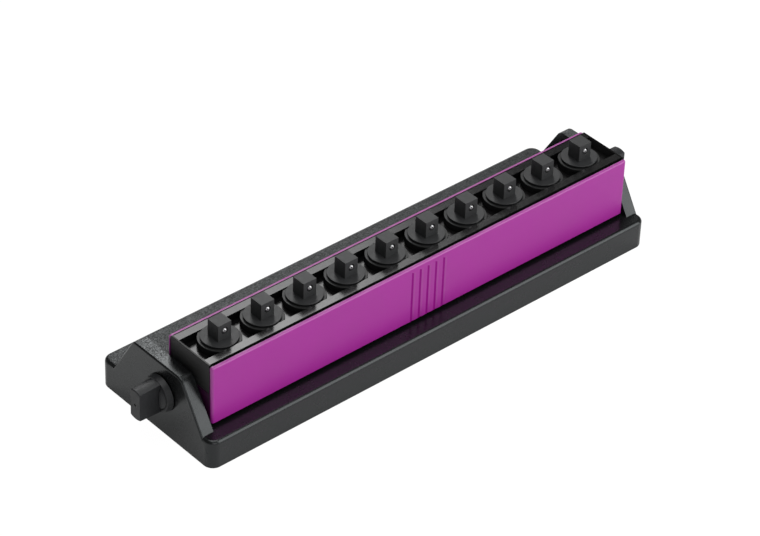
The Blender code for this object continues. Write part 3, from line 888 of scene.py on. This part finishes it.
polished = polished_ball_finish()
ball_data = ball_mesh()
for number in post_numbers:
    at = (post_x_of(number), (ball_low.y + ball_high.y) / 2, ball_z)
    ball = "ball_" + number
    show_piece(ball, ball_data, polished, ball, ["detent_" + ball], at)


# The knobs are black nylon, one at each end of the pivot: a round collar against the ear,
# whose raised rim surrounds a low dome, and a flat thumb blade across it with a small
# moulding hole in its end.
knob_low, knob_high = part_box("knob_right")
knob_start = knob_low.x - stand_end
knob_reach = knob_high.x - stand_end
knob_collar_radius = (knob_high.z - knob_low.z) / 2
knob_collar_face_radius = 7.4 * MM
knob_collar_round = 0.2 * MM
knob_step = knob_start + 2.65 * MM
knob_blade_radius = 7.15 * MM
knob_blade_end_radius = 6.85 * MM
knob_blade_half = 2.85 * MM
knob_rim_inside = 6.35 * MM
knob_dome_height = 1.5 * MM
knob_dome_sunk = 0.35 * MM
knob_root_slot = 0.35 * MM
knob_flare = 0.8 * MM
knob_round = 0.4 * MM
knob_end_round = 0.18 * MM
knob_dome_gap = 0.15 * MM
knob_dome_steps = 12
knob_slot_sunk = 0.1 * MM
knob_bore_radius = 2.65 * MM
knob_bore_end = knob_reach - 4.5 * MM
knob_hole_radius = 0.55 * MM
knob_hole_depth = 2.5 * MM
nylon_black = (0.0200, 0.0212, 0.0230)


def blade_side(side):
    """The space beside the flat thumb blade."""
    flat, wide = sorted((side * knob_blade_half, side * (knob_blade_radius + past)))
    corners = [(-past, flat), (knob_reach + past, flat), (knob_reach + past, wide), (-past, wide)]
    tall = knob_collar_radius + past
    return slab(corners, -tall, tall)


def knob_blade():
    """The thumb blade: turned about the pivot axis, then cut flat on both sides."""
    neck = knob_collar_face_radius - knob_collar_round
    wall = [
        (neck, (knob_start + knob_step) / 2),
        (neck, knob_step),
        (knob_blade_radius, knob_step + knob_flare),
    ]
    end_middle = (knob_blade_end_radius - knob_round, knob_reach - knob_round)
    wall += arc_points(end_middle, knob_round, 0, 90, 5)
    blade = mould(lathe(wall, 96, "X"), cuts=[blade_side(1), blade_side(-1)])
    on_end = in_plane(knob_reach, 0)
    on_flat = lambda vert: abs(abs(vert.co.y) - knob_blade_half) < level_within
    beside_flat = lambda edge: all(on_flat(vert) for vert in edge.verts)
    return soften(blade, lambda edge: on_end(edge) and beside_flat(edge), knob_end_round, 3)


def knob_collar():
    """The round collar: a raised rim, and inside it a low dome that rises towards the blade."""
    outline = [
        (knob_collar_radius - knob_round / 2, knob_start),
        (knob_collar_radius, knob_start + knob_round / 2),
    ]
    rim_middle = (knob_collar_face_radius - knob_collar_round, knob_step - knob_collar_round)
    outline += arc_points(rim_middle, knob_collar_round, 0, 90, 4)
    sunk = knob_step - knob_dome_sunk
    outline += [(knob_rim_inside, knob_step), (knob_rim_inside, sunk)]
    rim = knob_rim_inside - knob_dome_gap
    inner = knob_blade_half - knob_dome_gap
    for i in range(knob_dome_steps + 1):
        along = i / knob_dome_steps
        rise = knob_dome_height * (1 - (1 - along) ** 2)
        outline.append((rim + (inner - rim) * along, sunk + rise))
    return lathe(outline, 96, "X")


def root_slot(side):
    """The narrow slot in the dome along the blade's root."""
    near_y, far_y = sorted((side * knob_blade_half, side * (knob_blade_half + knob_root_slot)))
    low_x, high_x = knob_step - knob_slot_sunk, knob_reach
    corners = [(low_x, near_y), (high_x, near_y), (high_x, far_y), (low_x, far_y)]
    return slab(corners, -knob_rim_inside, knob_rim_inside)


def knob_solid():
    """The right-hand knob about the pivot axis, bored for the stud and with a hole in its end."""
    whole = mould(knob_blade(), joins=[knob_collar()])
    whole = mould(whole, cuts=[root_slot(1), root_slot(-1)])
    bore = [(knob_bore_radius, knob_start - past), (knob_bore_radius, knob_bore_end)]
    hole = [(knob_hole_radius, knob_reach - knob_hole_depth), (knob_hole_radius, knob_reach + past)]
    return mould(whole, cuts=[lathe(bore, 40, "X"), lathe(hole, 20, "X")])


def knob_finish():
    """Black nylon: duller and a little greyer than the stand, with a fine matt skin."""
    material = new_finish("knob_black_nylon", nylon_black, 0.45)
    set_surface(material, "Specular IOR Level", 0.42)
    add_matt_skin(material, 0.22 * MM, 0.12, 0.03 * MM, patches=3.0 * MM, roughness=(0.40, 0.50))
    return material


black_nylon = knob_finish()
for side, body in ((1, "knob_right"), (-1, "knob_left")):
    solid = knob_solid()
    if side < 0:
        to_other_end(solid)
    at = (side * stand_end, pivot_y, pivot_z)
    show_piece("thumb_" + body, finish_mesh(solid), black_nylon, body, [body], at)


# A plain white table under soft studio light: four panels and a faint glow all round. The
# camera stands where the photographer stood, some way off with a long lens.
table_white = (0.82, 0.82, 0.82)


def table_finish():
    """White that looks plain to the camera and in reflections, and still takes a soft shadow."""
    material = new_finish("white_table", table_white, 0.9)
    nodes = material.node_tree.nodes
    rays = add_node(material, "ShaderNodeLightPath").outputs
    plainly = combine(material, "MULTIPLY", rays["Is Camera Ray"], 0.92)
    mirrored = combine(material, "MULTIPLY", rays["Is Glossy Ray"], 0.20)
    glow = add_node(material, "ShaderNodeEmission", Strength=1.07)
    mix = add_node(material, "ShaderNodeMixShader")
    feed(material, mix.inputs["Fac"], combine(material, "ADD", plainly, mirrored))
    feed(material, mix.inputs[1], nodes["Principled BSDF"].outputs["BSDF"])
    feed(material, mix.inputs[2], glow.outputs["Emission"])
    feed(material, nodes["Material Output"].inputs["Surface"], mix.outputs["Shader"])
    return material


table_size = 8.0
table_mesh = bmesh.new()
bmesh.ops.create_grid(table_mesh, x_segments=1, y_segments=1, size=table_size / 2)
table_data = bpy.data.meshes.new("table")
table_mesh.to_mesh(table_data)
table_data.materials.append(table_finish())
table = bpy.data.objects.new("table", table_data)
bpy.context.scene.collection.objects.link(table)


def soft_light(name, azimuth, elevation, distance, width, height, brightness):
    """A flat panel that faces the middle of the rail. Brightness is what a mirror would show."""
    angle, rise = math.radians(azimuth), math.radians(elevation)
    away = Vector((math.sin(angle) * math.cos(rise), -math.cos(angle) * math.cos(rise), math.sin(rise)))
    lamp = bpy.data.lights.new(name, "AREA")
    lamp.shape = "RECTANGLE"
    lamp.size = width
    lamp.size_y = height
    lamp.energy = brightness * math.pi * width * height
    panel = bpy.data.objects.new(name, lamp)
    bpy.context.scene.collection.objects.link(panel)
    middle = Vector((0, rail_middle_y, stand_high.z))
    panel.location = middle + away * distance
    panel.rotation_euler = away.to_track_quat("Z", "Y").to_euler()


panels = [  # name, azimuth, elevation, distance, width, height, brightness
    ("panel_behind", 149, 37, 1.6, 0.5, 0.9, 4.6),
    ("panel_front_right", 36, 27, 1.6, 1.1, 1.5, 3.0),
    ("panel_front_left", -24, 22, 1.7, 1.0, 0.9, 1.5),
    ("panel_above", 0, 88, 1.5, 1.1, 1.1, 2.2),
]
for panel in panels:
    soft_light(*panel)

studio_glow = 0.12
world = bpy.data.worlds.new("studio")
world.use_nodes = True
world.node_tree.nodes["Background"].inputs["Color"].default_value = (1, 1, 1, 1)
world.node_tree.nodes["Background"].inputs["Strength"].default_value = studio_glow
bpy.context.scene.world = world
bpy.context.scene.view_settings.view_transform = "Standard"

camera_azimuth = math.radians(-42.4549)
camera_elevation = math.radians(37.1608)
camera_roll = math.radians(2.3048)
camera_distance = 1258.0 * MM
camera_slide_right = -10.43 * MM
camera_slide_up = -10.32 * MM
camera_lens = 151.07
camera_sensor = 36.0
aim = Vector((0, rail_middle_y, flange_top))
back = Vector((
    math.sin(camera_azimuth) * math.cos(camera_elevation),
    -math.cos(camera_azimuth) * math.cos(camera_elevation),
    math.sin(camera_elevation),
))
level_right = Vector((0, 0, 1)).cross(back).normalized()
level_up = back.cross(level_right)
right = level_right * math.cos(camera_roll) + level_up * math.sin(camera_roll)
up = level_up * math.cos(camera_roll) - level_right * math.sin(camera_roll)
lens = bpy.data.cameras.new("camera")
lens.sensor_width = camera_sensor
lens.lens = camera_lens
camera = bpy.data.objects.new("camera", lens)
bpy.context.scene.collection.objects.link(camera)
stand_point = aim + right * camera_slide_right + up * camera_slide_up + back * camera_distance
turn = Matrix((right, up, back)).transposed().to_4x4()
camera.matrix_world = Matrix.Translation(stand_point) @ turn
bpy.context.scene.camera = camera
